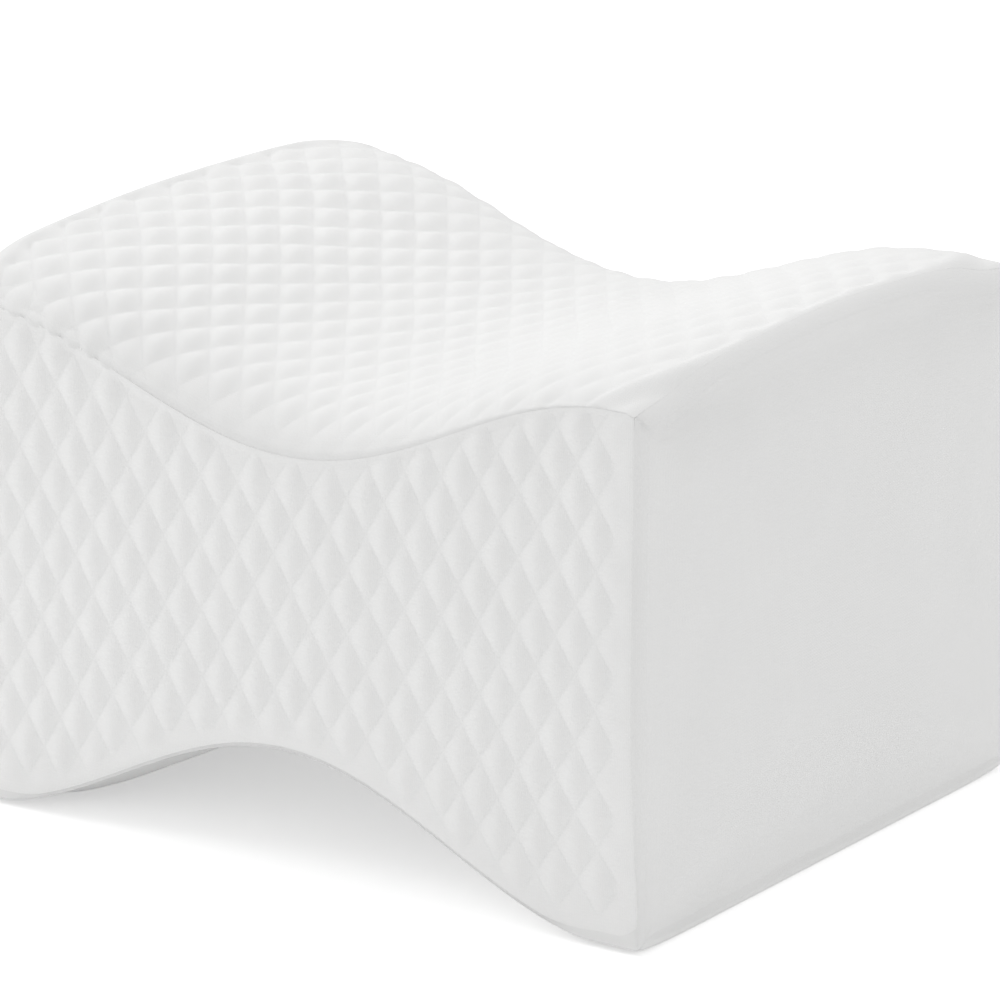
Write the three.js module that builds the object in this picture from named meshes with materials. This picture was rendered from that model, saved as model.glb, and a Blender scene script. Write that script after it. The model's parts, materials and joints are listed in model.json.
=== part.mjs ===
// A contoured knee pillow: a filled hourglass cushion that lies between the knees, with a dip for one leg
// across its top and an arch for the other across its underside. +X runs along its length, +Y to its back,
// +Z up, and the origin is on the floor under its middle. Millimetres.
//
// Its pieces: the filled cushion, whose plain knit cover shows at both ends and underneath, and three
// quilted panels sewn to that cover: one over the top, one in front and one behind. The quilting is a
// lattice of diamonds: each stitched crossing is sunk and each diamond's middle stands proud.
import * as THREE from "three";

// Driving sizes of the whole pillow
const LENGTH = 250;
const DEPTH = 200;
const HEIGHT = 166;
const TOP_DIP = 26; // depth of the leg dip in the top
const ARCH = 35; // height of the arch in the underside
const WAVE_REACH = 115; // from the middle to where the dip and the arch run out

// Fullness of the filling
const CROWN = 3.2; // how far the top stands higher along its middle than at its front and back
const END_BULGE = 2;
const SIDE_BULGE = 0.8;
const FOOT_SQUASH = 1.2; // how much of each foot the pillow's own weight flattens
const TOP_CORNER = 11; // radius of the soft edge between the top and an end
const SIDE_CORNER = 5;
const FOOT_CORNER = 6;
const BACK_CORNER_DROOP = 3; // how far the top's two back corners sag
const DROOP_START = 0.75; // share of the half length at which that sag begins

// Rolled edges of the top and the underside, quarter ellipses that tuck in under themselves to a seam
const ROLL_WIDTH = 30;
const TOP_SEAM_DROP_AT_HUMP = 7.5;
const TOP_SEAM_DROP_AT_DIP = 11.8;
const FRONT_SEAM_TILT = 1.9; // the front seam lies this much lower at its left end and higher at its right
const UNDER_ROLL_RISE = 2.8;
const UNDER_SEAM_RISE = 4.2;
const LIP = 0.6; // height of the fold that tucks in to the seam above the underside's roll

// Cloth, seams and quilting
const DIAMOND_WIDTH = 13;
const DIAMOND_HEIGHT = 20;
const QUILT_SINK = 1.7; // depth of a stitched crossing below the diamonds' middles
const GAP = 0.4; // clearance between neighbouring pieces
const UNDER_GAP = 0.7; // clearance between a side panel's lower edge and the underside's fold
const TOP_PANEL = 3; // thickness of the quilted top
const TOP_PANEL_EDGE = 2; // its thickness where it rolls over the front and back
const SIDE_PANEL_RIM = 1; // thickness of a front or back panel at its seam
const PANEL_RIM_WIDTH = 9; // how far in from its seam a panel reaches its full thickness
const PANEL_CORNER = 12; // radius of the lower corners of the front and back panels
const END_SEAM_DIP = 0.9; // how far the cloth dips at the seams along both ends
const END_SEAM_INSET = 5; // from the end of the pillow to the panels' end seams

// Worked out from the sizes above
const HALF_LENGTH = LENGTH / 2 - END_BULGE;
const PANEL_HALF = HALF_LENGTH - END_SEAM_INSET;
const CREST = HEIGHT - CROWN;
const MIDDLE_HEIGHT = HEIGHT / 2;
const ROLL_OUTSIDE = DEPTH / 2 - 1.5;
const ROLL_START = ROLL_OUTSIDE - ROLL_WIDTH;
const SEAM_PLANE = ROLL_OUTSIDE - TOP_PANEL_EDGE;
const BODY_PLANE = SEAM_PLANE - GAP;
const TUCK = Math.acos((SEAM_PLANE - ROLL_START) / ROLL_WIDTH);
const SIDE_PANEL = DEPTH / 2 - SEAM_PLANE;

const CLOTH = { quilted: 0xf4f4f3, plain: 0xe6e6e5 };

// The lengthwise lines of the pillow

/** 1 in the middle of the pillow, falling in a smooth wave to 0 where the humps and feet begin. */
function wave(x) {
  return (1 + Math.cos(Math.PI * Math.min(Math.abs(x) / WAVE_REACH, 1))) / 2;
}

/** How far a quarter round has dropped at this distance from its end: 0 before it, its radius at its end. */
function roundDrop(distance, radius) {
  const into = Math.min(Math.max(1 - distance / radius, 0), 1);
  return radius * (1 - Math.sqrt(1 - into * into));
}

function fromEnd(x) {
  return HALF_LENGTH - Math.abs(x);
}

function topLine(x) {
  return CREST - TOP_DIP * wave(x) - roundDrop(fromEnd(x), TOP_CORNER);
}

function underLine(x) {
  const arch = Math.max(0, (ARCH + FOOT_SQUASH) * wave(x) - FOOT_SQUASH);
  return arch + roundDrop(fromEnd(x), FOOT_CORNER);
}

/** How far the seam of the front (side -1) or back (side 1) panel lies below the top line. */
function topSeamDrop(x, side) {
  const drop = TOP_SEAM_DROP_AT_HUMP + (TOP_SEAM_DROP_AT_DIP - TOP_SEAM_DROP_AT_HUMP) * wave(x);
  const tilt = side < 0 ? (-FRONT_SEAM_TILT * x) / HALF_LENGTH : 0;
  const outer = Math.max(0, Math.abs(x) / HALF_LENGTH - DROOP_START) / (1 - DROOP_START);
  const droop = side > 0 ? BACK_CORNER_DROOP * outer * outer : 0;
  return drop + tilt + droop;
}

function topSeamHeight(x, side) {
  return topLine(x) + crownAt(SEAM_PLANE) - topSeamDrop(x, side);
}

/** Height of a side panel's lower edge, with its rounded corners, or of a line that runs `outside` it. */
function underSeamHeight(x, outside = 0) {
  const corner = roundDrop(PANEL_HALF + outside - Math.abs(x), PANEL_CORNER + outside);
  return underLine(x) + UNDER_SEAM_RISE - outside + corner;
}

function crownAt(y) {
  return CROWN * (1 - (y / ROLL_OUTSIDE) ** 2);
}

// The sections across the pillow

/** Points {y, z} of a quarter ellipse from its top to its widest place and on by `tuck`. */
function rollPoints(width, rise, tuck, steps) {
  const points = [];
  for (let i = 0; i <= steps; i++) {
    const turn = Math.PI / 2 - ((Math.PI / 2 + tuck) * i) / steps;
    points.push({ y: width * Math.cos(turn), z: rise * Math.sin(turn) });
  }
  return points;
}

// The layers of the top: how far each lies inside the skin, on the flat and at the roll, and how it tucks.
const SKIN = { thickness: 0, inward: 0, sunk: 0, tuck: TUCK };
const PLAIN_SKIN = { thickness: 0, inward: 0, sunk: 0, tuck: 0 };
const PANEL_BACK = { thickness: TOP_PANEL, inward: TOP_PANEL_EDGE, sunk: 0, tuck: 0 };
const UNDER_PANEL = { thickness: TOP_PANEL, inward: TOP_PANEL_EDGE + GAP, sunk: GAP, tuck: 0 };
const ROLL_STEPS = 5;

/** The top's section at x, from front to back: the skin itself, or a layer that lies inside it. */
function topSection(x, layer, flatSteps) {
  const flat = topLine(x) - layer.thickness - layer.sunk;
  const half = (side) => {
    const points = [];
    for (let step = 1; step < flatSteps; step++) {
      points.push({ y: (ROLL_START * step) / flatSteps, z: flat });
    }
    const rise = topSeamDrop(x, side) / (1 + Math.sin(TUCK));
    const centre = topLine(x) - rise - layer.sunk;
    const roll = rollPoints(ROLL_WIDTH - layer.inward, rise - layer.thickness, layer.tuck, ROLL_STEPS);
    roll.forEach(({ y, z }) => points.push({ y: ROLL_START + y, z: centre + z }));
    return points.map(({ y, z }) => ({ y: side * y, z: z + crownAt(y) }));
  };
  return [...half(-1).reverse(), { y: 0, z: flat + CROWN }, ...half(1)];
}

/** The underside's section at x, from the back seam to the front seam, tucked in where a panel covers it. */
function underSection(x, covered) {
  const seam = underSeamHeight(x, UNDER_GAP);
  const low = underLine(x);
  const roll = rollPoints(ROLL_WIDTH, UNDER_ROLL_RISE, 0, 3);
  const half = (side) => {
    const points = roll.map(({ y, z }) => ({ y: ROLL_START + y, z: low + UNDER_ROLL_RISE - z }));
    points.push({ y: ROLL_OUTSIDE, z: seam - LIP });
    points.push({ y: covered ? BODY_PLANE : ROLL_OUTSIDE, z: seam });
    return points.map(({ y, z }) => ({ y: side * y, z }));
  };
  return [...half(1).reverse(), { y: 0, z: low }, ...half(-1)];
}

// Mesh building

/** Collects points and triangles. A mirrored builder turns each triangle over. */
class Builder {
  constructor(mirrored = false) {
    this.positions = [];
    this.triangles = [];
    this.mirrored = mirrored;
  }

  point(x, y, z) {
    this.positions.push(x, y, z);
    return this.positions.length / 3 - 1;
  }

  place(id) {
    return this.positions.slice(3 * id, 3 * id + 3);
  }

  apart(a, b) {
    const [p, q] = [this.place(a), this.place(b)];
    return Math.hypot(p[0] - q[0], p[1] - q[1], p[2] - q[2]);
  }

  face(a, b, c) {
    this.triangles.push(...(this.mirrored ? [a, c, b] : [a, b, c]));
  }

  /** Two triangles, parted along the edge from a to c. */
  quad(a, b, c, d) {
    this.face(a, b, c);
    this.face(a, c, d);
  }

  /** Joins two chains of points that run side by side, however many points each has. */
  strip(left, right, cost = (a, b) => this.apart(a, b)) {
    let [l, r] = [0, 0];
    while (l < left.length - 1 || r < right.length - 1) {
      const leftNext = l < left.length - 1 ? cost(left[l + 1], right[r]) : Infinity;
      const rightNext = r < right.length - 1 ? cost(left[l], right[r + 1]) : Infinity;
      if (leftNext < rightNext) {
        this.face(left[l], right[r], left[l + 1]);
        l++;
      } else {
        this.face(left[l], right[r], right[r + 1]);
        r++;
      }
    }
  }

  /** Closes a sheet's edge between the rims of its outer and its inner face, given as four sides each. */
  wall(outerSides, innerSides) {
    outerSides.forEach((side, i) => this.strip(side, innerSides[i]));
  }

  geometry() {
    const made = new THREE.BufferGeometry();
    made.setAttribute("position", new THREE.Float32BufferAttribute(this.positions, 3));
    made.setIndex(this.triangles);
    made.computeVertexNormals();
    return made;
  }
}

/** The four sides of a sheet's columns of points, anticlockwise seen from outside. */
function rim(columns) {
  const low = columns.map((column) => column[0]);
  const high = columns.map((column) => column[column.length - 1]);
  return [low, columns[columns.length - 1], high.reverse(), [...columns[0]].reverse()];
}

/** 0 on the stitching and 1 in the middle of a diamond, for a place on the lattice in half diamonds. */
function puff(column, row) {
  const fold = (t) => 1 - Math.abs(2 * (t - Math.floor(t)) - 1);
  return Math.min(fold((column + row) / 2), fold((column - row) / 2));
}

// Columns along X. The closer columns near both ends follow the soft edge there.

const EDGE_STEPS = [0, 1.8, 4.5, 8.5];
const LATTICE_COLUMNS = 16;
const LATTICE_END = (LATTICE_COLUMNS * DIAMOND_WIDTH) / 2;

function withEdgeColumns(lattice) {
  const edge = EDGE_STEPS.map((step) => {
    const x = PANEL_HALF - step;
    return { x, column: (2 * x) / DIAMOND_WIDTH };
  });
  const left = edge.map(({ x, column }) => ({ x: -x, column: -column }));
  return [...left, ...lattice, ...edge.reverse()];
}

/** Columns at even steps along the top line, so that the diamonds keep their width on the slopes. */
function topColumns() {
  const line = [];
  const fine = 240;
  for (let i = 0; i <= fine; i++) {
    const x = LATTICE_END * ((2 * i) / fine - 1);
    line.push(new THREE.Vector2(x, topLine(x)));
  }
  const spaced = new THREE.SplineCurve(line).getSpacedPoints(2 * LATTICE_COLUMNS);
  return withEdgeColumns(spaced.map((p, i) => ({ x: p.x, column: i - LATTICE_COLUMNS })));
}

/** Every second column, for the faces that don't show the quilting. */
function coarseColumns() {
  return topColumns().filter(({ column }) => column % 2 === 0 || Math.abs(column) > LATTICE_COLUMNS);
}

// The filled cushion

const COARSE_STEPS = 2;
const SIDE_STEPS = 4;

/** Points on a straight side between two heights, bulging by at most `bulge`, without its two ends. */
function sidePoints(y, from, to, bulge) {
  const points = [];
  for (let step = 1; step < SIDE_STEPS; step++) {
    const share = step / SIDE_STEPS;
    const out = bulge * Math.sin(Math.PI * share);
    points.push({ y: y + Math.sign(y) * out, z: from + (to - from) * share });
  }
  return points;
}

/** One ring of the cushion's skin at x. Where the panels cover it, it lies just inside them. */
function cushionSection(x, covered) {
  const top = topSection(x, covered ? UNDER_PANEL : PLAIN_SKIN, COARSE_STEPS);
  const under = underSection(x, covered);
  const plane = covered ? BODY_PLANE : ROLL_OUTSIDE;
  const bulge = covered ? 0 : SIDE_BULGE;
  const back = sidePoints(plane, top[top.length - 1].z, under[0].z, bulge);
  const front = sidePoints(-plane, under[under.length - 1].z, top[0].z, bulge);
  return [...top, ...back, ...under, ...front];
}

const SEAM_STEP_RUN = 0.5; // length along X in which the cloth rises from under the panels to beside them
const END_STEPS = 5;

/** The plain cloth from the panels' end seam, where it dips, round the soft edge to the end. */
function endRings() {
  const start = PANEL_HALF + GAP + SEAM_STEP_RUN;
  const firstTurn = Math.asin(1 - fromEnd(start) / TOP_CORNER);
  const rings = [];
  for (let step = 0; step <= END_STEPS; step++) {
    const turn = firstTurn + ((Math.PI / 2 - firstTurn) * step) / END_STEPS;
    const x = HALF_LENGTH - TOP_CORNER * (1 - Math.sin(turn));
    const dip = step === 0 ? END_SEAM_DIP : 0;
    const inset = roundDrop(fromEnd(x), SIDE_CORNER) + dip;
    const ring = cushionSection(x, false).map(({ y, z }) => {
      return { x, y: y * (1 - inset / ROLL_OUTSIDE), z: z > MIDDLE_HEIGHT ? z - dip : z };
    });
    rings.push(ring);
  }
  return rings;
}

const CAP_SCALES = [0.82, 0.55, 0.28];

/** Ever smaller rings that close an end, bulging outwards to its middle. */
function capRings(ring) {
  return CAP_SCALES.map((scale) =>
    ring.map(({ x, y, z }) => ({
      x: x + END_BULGE * (1 - scale * scale),
      y: y * scale,
      z: MIDDLE_HEIGHT + (z - MIDDLE_HEIGHT) * scale,
    })),
  );
}

function cushion() {
  const builder = new Builder();
  const covered = coarseColumns().map(({ x }) => x);
  const xs = [-PANEL_HALF - GAP, ...covered, PANEL_HALF + GAP];
  const middle = xs.map((x) => cushionSection(x, true).map(({ y, z }) => ({ x, y, z })));
  const end = endRings();
  const right = [...end, ...capRings(end[end.length - 1])];
  const left = right.map((ring) => ring.map(({ x, y, z }) => ({ x: -x, y, z }))).reverse();
  const sections = [...left, ...middle, ...right];
  const rings = sections.map((ring) => ring.map(({ x, y, z }) => builder.point(x, y, z)));

  for (let i = 0; i + 1 < rings.length; i++) {
    const [a, b] = [rings[i], rings[i + 1]];
    a.forEach((_, j) => {
      const next = (j + 1) % a.length;
      builder.quad(a[j], b[j], b[next], a[next]);
    });
  }
  const tip = HALF_LENGTH + END_BULGE;
  const leftTip = builder.point(-tip, 0, MIDDLE_HEIGHT);
  const rightTip = builder.point(tip, 0, MIDDLE_HEIGHT);
  const [first, last] = [rings[0], rings[rings.length - 1]];
  first.forEach((id, j) => {
    const next = (j + 1) % first.length;
    builder.face(id, first[next], leftTip);
    builder.face(last[next], last[j], rightTip);
  });
  return builder.geometry();
}

// The quilted top

const FLAT_STEPS = 7;
const PRESSED_ROWS = 4; // rows over which the quilting fades out towards the front and back seams

/** How strong the quilting is at a distance in from a seam: it is pressed flat at the seam itself. */
function fullness(inward) {
  return Math.min(1, Math.max(0, inward / PANEL_RIM_WIDTH));
}

function topPanel() {
  const builder = new Builder();
  const outer = topColumns().map(({ x, column }) => {
    const section = topSection(x, SKIN, FLAT_STEPS);
    const last = section.length - 1;
    const inward = PANEL_HALF - Math.abs(x);
    const endDip = END_SEAM_DIP * (1 - fullness(2 * inward));
    return section.map(({ y, z }, row) => {
      const before = section[Math.max(row - 1, 0)];
      const after = section[Math.min(row + 1, last)];
      const along = Math.hypot(after.y - before.y, after.z - before.z);
      const seamward = Math.min(row, last - row);
      const clear = Math.min(1, seamward / PRESSED_ROWS);
      const strength = fullness(inward) * clear;
      const sink = QUILT_SINK * (1 - puff(column, row - last / 2)) * strength;
      const out = { y: -(after.z - before.z) / along, z: (after.y - before.y) / along };
      return builder.point(x, y - out.y * sink, z - out.z * sink - endDip * clear);
    });
  });
  const inner = coarseColumns().map(({ x }) =>
    topSection(x, PANEL_BACK, COARSE_STEPS).map(({ y, z }) => builder.point(x, y, z)),
  );

  for (let i = 0; i + 1 < outer.length; i++) {
    const [a, b] = [outer[i], outer[i + 1]];
    for (let row = 0; row + 1 < a.length; row++) {
      const stitched = (i + row) % 2 === 0;
      if (stitched) builder.quad(a[row], b[row], b[row + 1], a[row + 1]);
      else builder.quad(b[row], b[row + 1], a[row + 1], a[row]);
    }
  }
  for (let i = 0; i + 1 < inner.length; i++) {
    const [a, b] = [inner[i], inner[i + 1]];
    for (let row = 0; row + 1 < a.length; row++) {
      builder.quad(a[row], a[row + 1], b[row + 1], b[row]);
    }
  }
  builder.wall(rim(outer), rim(inner));
  return builder.geometry();
}

// The quilted front and back

/** Thickness of a panel at a distance in from its seam, before the quilting sinks into it. */
function panelThickness(inward) {
  const into = 1 - fullness(inward);
  return SIDE_PANEL_RIM + (SIDE_PANEL - SIDE_PANEL_RIM) * Math.sqrt(1 - into * into);
}

const EDGE_ROWS = EDGE_STEPS.slice(0, 3);
const EDGE_CLEAR = 7; // least distance from a seam to a row of the lattice

/** The heights of one column's points: the rows of the lattice, and closer ones near both seams. */
function panelHeights(low, high) {
  const step = DIAMOND_HEIGHT / 2;
  const rows = [];
  for (let row = Math.ceil((low + EDGE_CLEAR) / step); row * step < high - EDGE_CLEAR; row++) {
    rows.push(row * step);
  }
  const above = EDGE_ROWS.map((inward) => low + inward);
  const below = EDGE_ROWS.map((inward) => high - inward).reverse();
  return [...above, ...rows, ...below];
}

const STITCH_BIAS = 2; // how strongly, in millimetres, the facets' edges are drawn to the stitching

function sidePanel(side) {
  const builder = new Builder(side > 0);
  const step = { x: DIAMOND_WIDTH / 2, z: DIAMOND_HEIGHT / 2 };
  const lattice = [];
  for (let column = -LATTICE_COLUMNS; column <= LATTICE_COLUMNS; column++) {
    lattice.push({ x: column * step.x, column });
  }
  const heightOf = new Map();
  const seams = withEdgeColumns(lattice).map(({ x }) => {
    return { x, low: underSeamHeight(x), high: topSeamHeight(x, side) - GAP };
  });
  const outer = seams.map(({ x, low, high }) =>
    panelHeights(low, high).map((z) => {
      const inward = Math.min(PANEL_HALF - Math.abs(x), z - low, high - z);
      const height = puff(x / step.x, z / step.z);
      const thickness = panelThickness(inward) - QUILT_SINK * (1 - height) * fullness(inward);
      const id = builder.point(x, side * (SEAM_PLANE + thickness), z);
      heightOf.set(id, height);
      return id;
    }),
  );
  const inner = seams.map(({ x, low, high }) =>
    [low, high].map((z) => builder.point(x, side * SEAM_PLANE, z)),
  );

  const cost = (a, b) => builder.apart(a, b) + STITCH_BIAS * (heightOf.get(a) + heightOf.get(b));
  for (let i = 0; i + 1 < outer.length; i++) {
    builder.strip(outer[i], outer[i + 1], cost);
    const [a, b] = [inner[i], inner[i + 1]];
    builder.quad(a[1], b[1], b[0], a[0]);
  }
  builder.wall(rim(outer), rim(inner));
  return builder.geometry();
}

// The whole pillow

function piece(name, geometry, color, roughness) {
  const cloth = new THREE.MeshStandardMaterial({ color, roughness, metalness: 0 });
  const mesh = new THREE.Mesh(geometry, cloth);
  mesh.name = name;
  return mesh;
}

const pillow = new THREE.Group();
pillow.add(piece("cushion_body", cushion(), CLOTH.plain, 0.85));
pillow.add(piece("top_panel", topPanel(), CLOTH.quilted, 0.9));
pillow.add(piece("front_panel", sidePanel(-1), CLOTH.quilted, 0.9));
pillow.add(piece("back_panel", sidePanel(1), CLOTH.quilted, 0.9));

export default pillow;
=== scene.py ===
"""The looks of a contoured knee pillow: a filled cushion in plain knit cloth, with quilted panels sewn over
its top, its front and its back. Metres; +X runs along the pillow, +Y to its back, +Z up."""

import json
import math

import bpy
import numpy as np
from mathutils import Matrix, Vector


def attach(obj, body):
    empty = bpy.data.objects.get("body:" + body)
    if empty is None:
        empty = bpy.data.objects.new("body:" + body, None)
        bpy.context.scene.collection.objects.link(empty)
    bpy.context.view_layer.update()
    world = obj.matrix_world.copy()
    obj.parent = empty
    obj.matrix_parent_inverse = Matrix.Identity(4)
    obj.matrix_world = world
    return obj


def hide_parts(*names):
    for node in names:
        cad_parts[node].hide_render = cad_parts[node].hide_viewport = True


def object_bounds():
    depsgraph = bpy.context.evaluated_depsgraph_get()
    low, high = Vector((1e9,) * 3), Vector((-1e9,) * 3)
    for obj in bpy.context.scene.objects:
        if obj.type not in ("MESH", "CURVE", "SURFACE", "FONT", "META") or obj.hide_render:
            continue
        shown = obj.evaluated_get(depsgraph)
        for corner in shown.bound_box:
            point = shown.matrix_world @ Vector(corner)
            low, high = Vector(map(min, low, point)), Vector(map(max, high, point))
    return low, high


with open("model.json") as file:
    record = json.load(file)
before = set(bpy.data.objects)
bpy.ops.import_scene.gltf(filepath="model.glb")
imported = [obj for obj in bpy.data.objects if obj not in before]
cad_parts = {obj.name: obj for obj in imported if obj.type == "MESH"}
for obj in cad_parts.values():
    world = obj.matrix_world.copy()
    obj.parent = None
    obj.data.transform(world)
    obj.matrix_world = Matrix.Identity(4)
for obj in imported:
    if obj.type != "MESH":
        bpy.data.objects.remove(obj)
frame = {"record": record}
CAD_LOW, CAD_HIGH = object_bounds()

bl_info = {
    "name": "Knee Pillow",
    "version": (1, 0, 0),
    "blender": (4, 5, 0),
    "location": "3D View > Sidebar > Knee Pillow",
    "description": "Builds a contoured knee pillow with a quilted top, front and back and plain knit ends",
    "category": "Add Mesh",
}

# Sizes of the pillow, close to those of its solids
LENGTH = CAD_HIGH.x - CAD_LOW.x
DEPTH = CAD_HIGH.y - CAD_LOW.y
HEIGHT = CAD_HIGH.z - CAD_LOW.z
TOP_DIP = 0.0264
ARCH = 0.035
WAVE_REACH = 0.115
CROWN = 0.0032
END_BULGE = 0.002
SIDE_BULGE = 0.0008
FOOT_SQUASH = 0.0012

# Radii of the ends' round edges
TOP_CORNER = 0.008
SIDE_CORNER = 0.005
FOOT_CORNER = 0.006

# The rolled edges of the top and of the underside
ROLL_WIDTH = 0.03
MEAN_ROLL_RISE = 0.0068
TUCK_DEPTH = 0.0002
UNDER_ROLL_RISE = 0.0018

# The seams
DROP_AT_HUMP = 0.008
DROP_AT_DIP = 0.0121
FRONT_SEAM_TILT = 0.0025
BACK_CORNER_DROOP = 0.003
DROOP_START = 0.75
END_SEAM_INSET = 0.005
SEAM_STEP_RUN = 0.0005
UNDER_SEAM_RISE = 0.0034
LIP = 0.0004

# The panels' thickness, and the side panels' round lower corners
TOP_PANEL = 0.003
TOP_PANEL_EDGE = 0.002
SIDE_PANEL_RIM = 0.0019
PANEL_PROUD = 0.0015
PANEL_CORNER = 0.007
CORNER_LIFT = 0.0022
LIFT_FROM = 0.088
LIFT_OVER = 0.02

# The gaps between pieces, and how far each panel's face reaches past its back, towards the next piece
GAP = 0.0004
UNDER_GAP = 0.0002
TOP_END_REACH = 0.0009
SIDE_END_REACH = 0.0008
SIDE_TOP_REACH = 0.0004
SIDE_FOOT_REACH = 0.0006
REACH_RUN = 0.004

HALF_LENGTH = LENGTH / 2 - END_BULGE
PANEL_HALF = HALF_LENGTH - END_SEAM_INSET
CREST = HEIGHT - CROWN
MIDDLE_HEIGHT = HEIGHT / 2
ROLL_OUTSIDE = DEPTH / 2 - PANEL_PROUD
ROLL_START = ROLL_OUTSIDE - ROLL_WIDTH
SEAM_PLANE = ROLL_OUTSIDE - TOP_PANEL_EDGE
BODY_PLANE = SEAM_PLANE - GAP
TUCK = math.acos(1 - TUCK_DEPTH / ROLL_WIDTH)
SIDE_PANEL = DEPTH / 2 - SEAM_PLANE

# The plain patches at the top's corners
CORNER_PATCH = 0.013
PATCH_FROM = 0.04

# How the filling has settled: the dip lies aslant, the corners sag and are pinched, and the feet spread
DIP_SHIFT_FRONT = 0.0032
DIP_SHIFT_BACK = -0.0023
SHIFT_FROM = 0.05
SHIFT_OVER = 0.07
SAG_FRONT = 0.0025
SAG_BACK_LEFT = 0.0008
SAG_BACK_RIGHT = 0.0045
SAG_START = 0.073
SAG_POWER = 1.5
SAG_FADE = 0.01
PINCH = 0.003
PINCH_RUN = 0.6 * CORNER_PATCH
PINCH_FROM = 0.25  # shares of the depth
PINCH_OVER = 0.2
PINCH_FADE = 0.006
FOOT_SPREAD = 0.0028
SPREAD_FROM = 0.09
SPREAD_HEIGHT = 0.06

# How finely the pieces are made
COARSE = 4  # a panel's hidden back has this many times fewer rows and columns than its front
TOP_FLAT_STEPS = 88
TOP_ROLL_STEPS = 44
TOP_COLUMNS = 304
SIDE_ROWS = 208
SIDE_COLUMNS = 300
CORNER_COLUMNS = 24
ROLL_SAMPLES = 600
RUN_SAMPLES = 4001

# The camera: its angles and lens, and where the pillow's near bottom corner comes in the picture
CAMERA_AZIMUTH = 34.781
CAMERA_ELEVATION = 16.949
CAMERA_LENS = 260.3
SENSOR_WIDTH = 36
CAMERA_TO_CORNER = 1.9917
PICTURE_SIDE = 1000
CORNER_PIXEL = (646.5, 962.5)


# Lines and sections of the pillow


def smooth(t):
    """0 below 0, 1 above 1 and 3t^2 - 2t^3 between them."""
    t = np.clip(t, 0, 1)
    return t * t * (3 - 2 * t)


def rises(value, start, run):
    """A smooth step from 0 at the start to 1 at the end of the run."""
    return smooth((value - start) / run)


def wave(x):
    """Half of one plus a cosine: 1 at the pillow's middle, 0 from WAVE_REACH outwards."""
    return (1 + np.cos(np.pi * np.minimum(np.abs(x) / WAVE_REACH, 1))) / 2


def round_drop(distance, radius):
    """How far a quarter round has dropped at a distance from its end: 0 before it, its radius at its end."""
    into = np.clip(1 - distance / radius, 0, 1)
    return radius * (1 - np.sqrt(1 - into**2))


def from_end(x):
    """Distance along X from the flat of the nearer end."""
    return HALF_LENGTH - np.abs(x)


def top_line(x):
    """The top's height at its front and back edges: the crest, less the leg dip and the ends' round edge."""
    return CREST - TOP_DIP * wave(x) - round_drop(from_end(x), TOP_CORNER)


def under_line(x):
    """The underside's height: the arch, with each foot squashed flat, plus the ends' round edge."""
    return np.maximum(0, (ARCH + FOOT_SQUASH) * wave(x) - FOOT_SQUASH) + round_drop(from_end(x), FOOT_CORNER)


def top_seam_drop(x, side):
    """How far the front (side -1) or back (side 1) seam lies below the top line: more in the dip, tilted
    along the front, and more at the two back corners, which sag."""
    drop = DROP_AT_HUMP + (DROP_AT_DIP - DROP_AT_HUMP) * wave(x)
    if side < 0:
        return drop - FRONT_SEAM_TILT * x / HALF_LENGTH
    outer = np.maximum(0, np.abs(x) / HALF_LENGTH - DROOP_START) / (1 - DROOP_START)
    return drop + BACK_CORNER_DROOP * outer**2


def crown_at(y):
    """The top's crown, a parabola across the pillow."""
    return CROWN * (1 - (y / ROLL_OUTSIDE) ** 2)


def top_seam_height(x, side):
    """Height of the seam between the top and the front or back panel."""
    return top_line(x) + crown_at(SEAM_PLANE) - top_seam_drop(x, side)


def under_seam_height(x, outside=0.0):
    """Height of a side panel's lower edge with its round corners, or of a line `outside` it."""
    corner = round_drop(PANEL_HALF + outside - np.abs(x), PANEL_CORNER + outside)
    corner = corner + CORNER_LIFT * rises(np.abs(x), LIFT_FROM, LIFT_OVER)
    return under_line(x) + UNDER_SEAM_RISE - outside + corner


def roll_turns(tuck, steps):
    """Angles round the rolled edge from its top, at even distances along an ellipse, and on by `tuck`."""
    fine = np.linspace(math.pi / 2, -tuck, ROLL_SAMPLES)
    run = np.hypot(np.diff(ROLL_WIDTH * np.cos(fine)), np.diff(MEAN_ROLL_RISE * np.sin(fine)))
    length = np.concatenate([[0], np.cumsum(run)])
    return np.interp(np.linspace(0, length[-1], steps + 1), length, fine)


def top_half(x, side, layer, steps):
    """y and z of the top's section at each x, from the middle line to the front or back: flat out to
    ROLL_START, then a quarter ellipse that tucks in under itself, all lifted by the crown. A layer lies
    inside the skin by its thickness on the flat and by its inset at the roll, and is sunk as a whole."""
    flat_steps, roll_steps = steps
    x = np.asarray(x)[:, None]
    flat_y = np.linspace(0, ROLL_START, flat_steps, endpoint=False)[None, :]
    flat_z = top_line(x) - layer["thickness"] - layer["sunk"]
    turns = roll_turns(layer["tuck"], roll_steps)[None, :]
    rise = top_seam_drop(x, side) / (1 + math.sin(TUCK))
    roll_y = ROLL_START + (ROLL_WIDTH - layer["inset"]) * np.cos(turns)
    roll_z = top_line(x) - rise - layer["sunk"] + (rise - layer["thickness"]) * np.sin(turns)
    y = np.broadcast_to(np.concatenate([flat_y, roll_y], axis=1), (len(x), flat_steps + roll_steps + 1))
    z = np.concatenate([np.broadcast_to(flat_z, (len(x), flat_steps)), roll_z], axis=1)
    return side * y, z + crown_at(y)


SKIN = {"thickness": 0, "inset": 0, "sunk": 0, "tuck": TUCK}
PLAIN_SKIN = {"thickness": 0, "inset": 0, "sunk": 0, "tuck": 0}
PANEL_BACK = {"thickness": TOP_PANEL, "inset": TOP_PANEL_EDGE, "sunk": 0, "tuck": 0}
UNDER_PANEL = {"thickness": TOP_PANEL, "inset": TOP_PANEL_EDGE + GAP, "sunk": GAP, "tuck": 0}


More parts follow.
